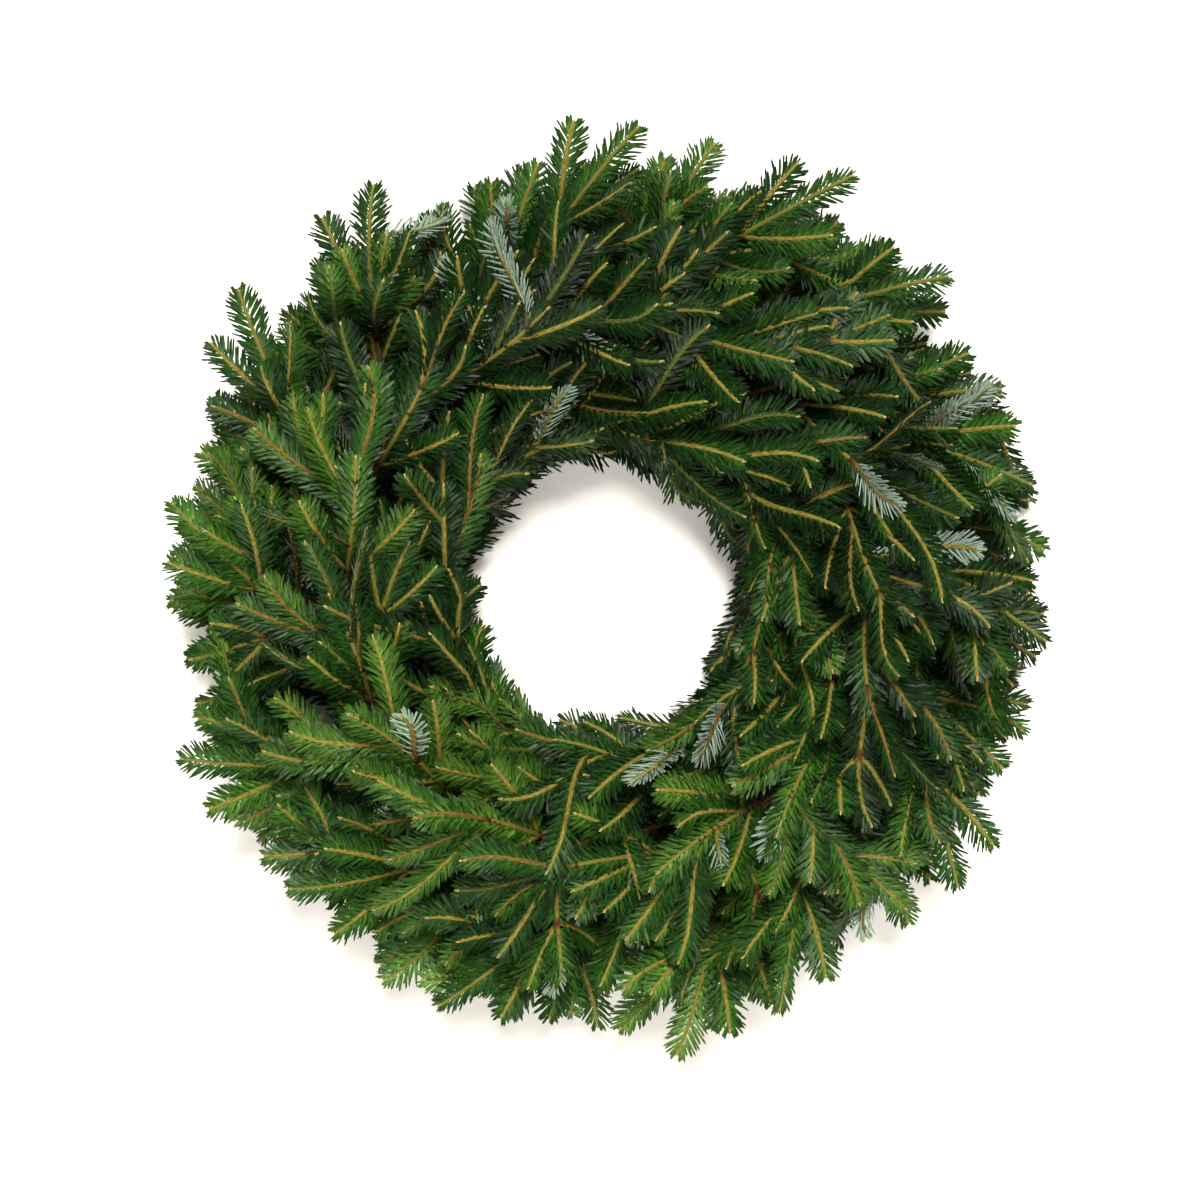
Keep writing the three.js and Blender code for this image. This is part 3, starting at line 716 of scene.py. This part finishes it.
# Each kind of bark has its band of the map's height, and its colours from the shoot's root to its tip.
BARKS = {
    "golden": (
        (0.005, 0.032),
        ((0, "4A1E0E"), (0.05, "503A1A"), (0.14, "746A2C"), (0.8, "867C36"), (1, "807A38")),
    ),
    "olive": (
        (0.042, 0.069),
        ((0, "3E2410"), (0.05, "3A3416"), (0.14, "4A4E20"), (0.8, "565C28"), (1, "5C642E")),
    ),
    "tan": (
        (0.079, 0.106),
        ((0, "4A1E0E"), (0.05, "523618"), (0.14, "665424"), (0.8, "74622C"), (1, "70642E")),
    ),
    "forked": (
        (0.116, 0.143),
        (
            (0, "50401E"),
            (0.45, "6E662A"),
            (0.475, "702E10"),
            (0.525, "702E10"),
            (0.56, "6E662A"),
            (1, "7E7632"),
        ),
    ),
    "old": (
        (0.153, 0.19),
        (
            (0, "D8C79B"),
            (0.004, "6B5A48"),
            (0.5, "6B5844"),
            (0.6, "602C12"),
            (0.66, "6E662A"),
            (1, "7E7632"),
        ),
    ),
}
# How often the grain repeats across the map and up it: fine cracks, about 15 mm by 1 mm on a stem and
# 4 mm by 1 mm on a young shoot, where they pass for hairs.
BARK_GRAIN = (20, 260, 1)
GRAIN_STOPS = ((0.3, "8C8C8C"), (0.7, "FFFFFF"))
BARK_MARGIN = 0.01  # between the map's edges and a twig's ends, whose fans reach half way into it
TWIG_SIDES = 8
TWIG_STEP = 6 * MM
FEWEST_ROWS = 4


def twig_chunks(course, radii, straight, kind):
    """A twig's round bark along its course, mapped root to tip across the map and round it upward."""
    length = course[0][-1]
    rows = max(int(length / TWIG_STEP), FEWEST_ROWS)
    s = np.linspace(0, length, rows)
    point, _, _, up = frames(course, s, straight)
    point[0], point[-1] = course[1][0], course[1][-1]
    radius = np.interp(s / length, *radii)
    points, quads, fans = round_bar(point, radius, up, TWIG_SIDES)
    low_v, high_v = BARKS[kind][0]
    row, side = np.divmod(np.arange(rows * TWIG_SIDES), TWIG_SIDES)
    u = BARK_MARGIN + (1 - 2 * BARK_MARGIN) * row / (rows - 1)
    u = np.append(u, [BARK_MARGIN / 2, 1 - BARK_MARGIN / 2])
    v = np.append(low_v + (high_v - low_v) * np.abs(2 * side / TWIG_SIDES - 1), [low_v, low_v])
    uv = np.stack([u, v], -1)
    return [(points, quads, uv[quads], 1, True), (NO_POINTS, fans - len(points), uv[fans], 1, True)]


# Buds: ovoid, in overlapping scales, and one on every tip.
BUD_LENGTH = 4.6 * MM
BUD_SINK = 1 * MM
BUD_RISES = np.array([0.0, 0.18, 0.42, 0.7, 0.9])  # its rings, in shares of its length
BUD_RADII = np.array([0.17, 0.306, 0.34, 0.245, 0.116])  # and their radii, in shares of it too
BUD_SIDES = 6
BUD_MAP = (0.205, 0.245)  # the part of the map's height that the buds have
BUD_ACROSS = (0.05, 0.8)  # on the map, where the first of its sides is and how far they reach
BUD_TIP_ACROSS = 0.5
SCALE_TONES = ((0, "4E3A1E"), (0.4, "7A6230"), (0.8, "8E7C40"), (1, "A09858"))


def bud_chunks(centre, ahead, up):
    """All of a bough's buds at once: rings of BUD_RADII at BUD_RISES along ahead, both times the bud's
    length, with a fan to its point and one across its base."""
    sides = BUD_SIDES
    a = np.arange(sides) * 2 * np.pi / sides
    across = np.cross(ahead, up)
    ring = np.cos(a)[:, None] * across[:, None] + np.sin(a)[:, None] * up[:, None]
    grid = centre[:, None, None] + BUD_LENGTH * (
        BUD_RISES[None, :, None, None] * ahead[:, None, None] + BUD_RADII[None, :, None, None] * ring[:, None]
    )
    tip = centre + ahead * BUD_LENGTH
    count = len(BUD_RISES) * sides
    points = np.concatenate([grid.reshape(len(centre), count, 3), tip[:, None]], 1).reshape(-1, 3)
    first = (np.arange(len(centre)) * (count + 1))[:, None, None]
    side = np.arange(sides)
    beside = (side + 1) % sides
    quads = wrapped_quads(len(BUD_RISES), sides, False)[:, ::-1]
    last = (len(BUD_RISES) - 1) * sides
    to_point = np.stack([np.full(sides, count), last + beside, last + side], -1)
    base = np.stack([np.zeros(sides - 2, int), side[1:-1], side[2:]], -1)
    fans = np.vstack([to_point, base])
    row, column = np.divmod(np.arange(count), sides)
    v = BUD_MAP[0] + (BUD_MAP[1] - BUD_MAP[0]) * np.append(row / len(BUD_RISES), 1)
    u = np.append(BUD_ACROSS[0] + BUD_ACROSS[1] * column / sides, BUD_TIP_ACROSS)
    uv = np.stack([u, v], -1)
    quad_uv, fan_uv = (np.tile(uv[faces], (len(centre), 1, 1)) for faces in (quads, fans))
    quads, fans = (quads[None] + first).reshape(-1, 4), (fans[None] + first).reshape(-1, 3)
    return [(points, quads, quad_uv, 2, True), (NO_POINTS, fans - len(points), fan_uv, 2, True)]


def map_place(tree):
    """The piece's own map, as its across and along values."""
    place = add_node(tree, "UVMap", uv_map="OFBake").outputs["UV"]
    parts = add_node(tree, "SeparateXYZ", {"Vector": place})
    return place, parts.outputs["X"], parts.outputs["Y"]


# Each lane's tones, from the blue-green of old shaded shoots to the yellow-green of the newest.
TONES = {
    "inner": ("0D220C", "112C0F", "1A3E13", "2B5518", "507425"),
    "crown": ("0D240D", "122E10", "1B4115", "2E5919", "557B2A"),
    "outer": ("10280F", "163612", "264D19", "3A6720", "628A34"),
    "rim": ("142C13", "204018", "345F22", "4D7A30", "769E49"),
}
SILVER = "8EA497"
# The underside's silver bands, by the place across the map cell, and the painted shade of the groove
# along the top.
UNDER_BANDS = (
    (0.5, "000000"),
    (0.545, "FFFFFF"),
    (0.68, "FFFFFF"),
    (0.705, "000000"),
    (0.735, "000000"),
    (0.76, "FFFFFF"),
    (0.895, "FFFFFF"),
    (0.94, "000000"),
)
GROOVE_SHADE = ((0.19, "FFFFFF"), (0.24, "A8A8A8"), (0.26, "A8A8A8"), (0.31, "FFFFFF"))
# Along a needle: a yellow foot and a paler tip, partly their own colour and partly painted highlight,
# and painted shade that dims it towards the tip.
NEEDLE_ENDS_AND_HIGHLIGHT = ((0, "B4B458"), (0.16, "4A5820"), (0.5, "000000"), (0.95, "000000"), (1, "5A5A28"))
NEEDLE_TIP_SHADE = ((0.25, "FFFFFF"), (1, "7A8880"))
ENDS_AND_HIGHLIGHT_SHARE = 0.3  # of that yellow and painted highlight
GREEN_IN_SILVER = 0.25


def needle_material(name, tones):
    """Fir needles: a waxed dark top whose tone goes cell by cell from blue-green to yellow-green, with
    painted shade in its groove and towards its tip and a foot and tip that are partly painted highlight,
    and under it two silver bands of pores with a green rib between and green margins."""
    material, tree, shader = new_material(name)
    _, u, v = map_place(tree)
    scaled = add_node(tree, "Math", {0: u, 1: NEEDLE_CELLS}, operation="MULTIPLY").outputs[0]
    cell = add_node(tree, "Math", {0: scaled}, operation="FLOOR").outputs[0]
    tone = add_node(tree, "Math", {0: cell, 1: NEEDLE_CELLS - 1}, operation="DIVIDE").outputs[0]
    across = add_node(tree, "Math", {0: scaled}, operation="FRACT").outputs[0]
    along = add_node(
        tree, "MapRange", {"Value": v, "From Min": NEEDLE_MAP[0], "From Max": NEEDLE_MAP[1]}
    ).outputs["Result"]
    top = ramp(tree, tone, list(zip(np.linspace(0, 1, len(tones)), tones)))
    # A yellow foot and a paler tip, partly their own colour and partly painted highlight.
    top = mixed(tree, ENDS_AND_HIGHLIGHT_SHARE, top, ramp(tree, along, NEEDLE_ENDS_AND_HIGHLIGHT), "SCREEN")
    # Painted shade: each needle darkens towards its tip, so a shoot's flanks fall off to dark.
    top = mixed(tree, 1.0, top, ramp(tree, along, NEEDLE_TIP_SHADE), "MULTIPLY")
    # Painted shade along the groove on the top of each needle.
    shaded = mixed(tree, 1.0, top, ramp(tree, across, GROOVE_SHADE), "MULTIPLY")
    silver = mixed(tree, GREEN_IN_SILVER, colour(SILVER), top)
    banded = mixed(tree, ramp(tree, across, UNDER_BANDS), shaded, silver)
    edge = (TOP_SPAN[1] + UNDER_SPAN[0]) / 2
    is_under = add_node(tree, "Math", {0: across, 1: edge}, operation="GREATER_THAN")
    tree.links.new(mixed(tree, is_under.outputs[0], shaded, banded), shader["Base Color"])
    shader["Roughness"].default_value = 0.42
    shader["Specular IOR Level"].default_value = 0.13
    return material


def bark_material(name):
    """Young fir bark: golden tan and smooth with fine hairs, red-brown at the bud scars of each fork,
    and grey-brown and cracked on the older stem."""
    material, tree, shader = new_material(name)
    place, u, v = map_place(tree)
    bands = list(BARKS.values())
    base = ramp(tree, u, bands[0][1])
    for (lower, _), (upper, stops) in zip(bands, bands[1:]):
        above = add_node(tree, "Math", {0: v, 1: (lower[1] + upper[0]) / 2}, operation="GREATER_THAN")
        base = mixed(tree, above.outputs[0], base, ramp(tree, u, stops))
    grain_place = add_node(tree, "Mapping", {"Vector": place, "Scale": BARK_GRAIN}).outputs["Vector"]
    grain = add_node(tree, "TexNoise", {"Vector": grain_place, "Scale": 1, "Detail": 3}).outputs["Fac"]
    shade = ramp(tree, grain, GRAIN_STOPS)
    tree.links.new(mixed(tree, 1.0, base, shade, "MULTIPLY"), shader["Base Color"])
    shader["Roughness"].default_value = 0.7
    shader["Specular IOR Level"].default_value = 0.1
    return material


def bud_material(name):
    """Resting fir buds: overlapping orange-brown scales under a skin of clear resin, paler at the tip."""
    material, tree, shader = new_material(name)
    _, _, v = map_place(tree)
    rise = add_node(tree, "MapRange", {"Value": v, "From Min": BUD_MAP[0], "From Max": BUD_MAP[1]})
    scales = ramp(tree, rise.outputs["Result"], SCALE_TONES)
    tree.links.new(scales, shader["Base Color"])
    shader["Roughness"].default_value = 0.3
    return material


BARK = bark_material("young_fir_bark")
BUDS = bud_material("resinous_fir_bud")
NEEDLE_PITCH = 1.0 * MM
SHOOT_TAPER = ([0, 0.7, 1], [2 * MM, 1.85 * MM, 1.4 * MM])  # radii along a shoot
SHOOT_BARE = 6 * MM
STEM_NEEDLES = FORK_BACK + 12 * MM  # how much of a stem's end has needles
STEM_ROLL_DRIFT = 12  # degrees, as the next
SHOOT_ROLL_DRIFT = 16
MEAN_TONE = 0.5
BOUGH_TONE_DRIFT = 0.13
LOWER_LEFT_PALENESS = 0.12  # how much paler than the mean the boughs at the lower left are
DARK_SIDE = unit(np.array([0.45, 1.0]))  # the darkest boughs are at the upper right
BOUGH_SEED = 1000  # of the first bough's draws, and the next boughs count on
LAID_SEED = 7


def fresher(course):
    """From 1 at the wreath's lower left, where the boughs are palest, to -1 at its upper right."""
    return -unit(course[1][-1, :2]) @ DARK_SIDE


def add_bough(lane_name, bunch, main, laid, material):
    """One bough: its stem, its forked shoots and those laid from it, with all their needles and buds."""
    node = f"bough_{lane_name}_{bunch + 1:02d}"
    rng = np.random.default_rng(BOUGH_SEED + CLAMPS * list(LANES).index(lane_name) + bunch)
    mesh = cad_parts[node].data
    node_points = np.empty(len(mesh.vertices) * 3, np.float32)
    mesh.vertices.foreach_get("co", node_points)
    node_points = node_points.reshape(-1, 3) - AXIS
    length = main[0][-1]
    stem_radii = [BUTT_RADIUS, BUTT_RADIUS, FORK_RADIUS, TIP_RADIUS]
    stem_taper = ([0, CLAMPED / length, FORK_SHARE, 1], stem_radii)
    chunks = twig_chunks(main, stem_taper, CLAMPED, "old")
    needles, buds = [], []

    def dress(course, bare, fork, pitch, roll, tone, tilt=DOME_TILT):
        needles.append(combed_needles(course, bare, fork, pitch, roll, tilt, tone, rng))
        _, ahead, _, up = frames(course, course[0][-1:], 0)
        buds.append((course[1][-1:] - ahead * BUD_SINK, ahead, up))

    # Boughs are paler towards the wreath's lower left and darker towards its upper right.
    tone = MEAN_TONE + BOUGH_TONE_DRIFT * rng.normal() + LOWER_LEFT_PALENESS * fresher(main)
    roll = rng.normal(0, STEM_ROLL_DRIFT)
    dress(main, length - STEM_NEEDLES, length - FORK_BACK, NEEDLE_PITCH, roll, tone)
    for hand in LANES[lane_name]["sides"]:
        line = forked_shoot(bunch, lane_name, hand, main, node_points)
        if line is None:
            continue
        course = course_of(line)
        chunks += twig_chunks(course, SHOOT_TAPER, 0, "golden")
        roll = rng.normal(0, SHOOT_ROLL_DRIFT)
        dress(course, SHOOT_BARE, 0, NEEDLE_PITCH, roll, tone + SHOOT_TONE_DRIFT * rng.normal())
    for line, bark, pitch, roll, shade in laid:
        course = course_of(line)
        chunks += twig_chunks(course, SHOOT_TAPER, 0, bark)
        fork = course[0][-1] / 2 if bark == "forked" else 0
        dress(course, SHOOT_BARE, fork, pitch, roll, tone + shade, LAID_TILT)
    chunks += bud_chunks(*(np.concatenate(part) for part in zip(*buds)))
    chunks = blade_chunks(*(np.concatenate(part) for part in zip(*needles))) + chunks
    piece = make_piece(f"fir_bough_{lane_name}_{bunch + 1:02d}", chunks, [material, BARK, BUDS])
    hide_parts(node)


courses = {f"{lane}-{bunch}": main_course(bunch, lane) for lane in LANES for bunch in range(CLAMPS)}
laid = laid_shoots(courses, np.random.default_rng(LAID_SEED))
for lane_name in LANES:
    needle_finish = needle_material(f"waxed_fir_needles_{lane_name}", TONES[lane_name])
    for bunch in range(CLAMPS):
        key = f"{lane_name}-{bunch}"
        add_bough(lane_name, bunch, courses[key], laid[key], needle_finish)

# ---- Studio: floor, light and camera ----
# A white floor out of which the wreath is cut, a broad window beyond its top and a softer one low in
# front. The camera looks straight down on its face.
FLOOR_REACH = 40  # metres each way, past every view
FLOOR_WHITE = "F7F6F4"
ROOM_WHITE = "FFF6EA"
ROOM_LIGHT = 0.52
WINDOW_WHITE = "FFFAF2"
CAMERA_PLACE = (-5.4 * MM, -6.7 * MM, 2.0)
CAMERA_LENS = 86.4
floor_mesh = bpy.data.meshes.new("studio_floor")
floor_corners = [(x * FLOOR_REACH, y * FLOOR_REACH, 0) for x, y in ((-1, -1), (1, -1), (1, 1), (-1, 1))]
floor_mesh.from_pydata(floor_corners, [], [(0, 1, 2, 3)])
floor = bpy.data.objects.new("studio_floor", floor_mesh)
bpy.context.scene.collection.objects.link(floor)
floor_paint, _, floor_shader = new_material("white_floor")
floor_shader["Base Color"].default_value = colour(FLOOR_WHITE)
floor_shader["Roughness"].default_value = 0.9
floor_mesh.materials.append(floor_paint)

world = bpy.data.worlds.new("soft_room")
world.use_nodes = True
world.node_tree.nodes["Background"].inputs["Color"].default_value = colour(ROOM_WHITE)
world.node_tree.nodes["Background"].inputs["Strength"].default_value = ROOM_LIGHT
bpy.context.scene.world = world


def add_sun(name, source, softness, strength, hexcode):
    """Even light from the direction of source: softness is its width in degrees, strength in W/m2."""
    light = bpy.data.lights.new(name, "SUN")
    light.angle = np.radians(softness)
    light.energy = strength
    light.color = colour(hexcode)[:3]
    lamp = bpy.data.objects.new(name, light)
    bpy.context.scene.collection.objects.link(lamp)
    lamp.rotation_euler = Vector(source).to_track_quat("Z", "Y").to_euler()


add_sun("window_light", (0.2, 1.2, 1.9), 26, 5.7, WINDOW_WHITE)
add_sun("low_fill", (-0.3, -2.2, 1.1), 38, 3.7, WINDOW_WHITE)

camera_data = bpy.data.cameras.new("camera")
camera_data.lens = CAMERA_LENS
camera = bpy.data.objects.new("camera", camera_data)
bpy.context.scene.collection.objects.link(camera)
camera.location = CAMERA_PLACE
bpy.context.scene.camera = camera
bpy.context.scene.view_settings.view_transform = "Standard"
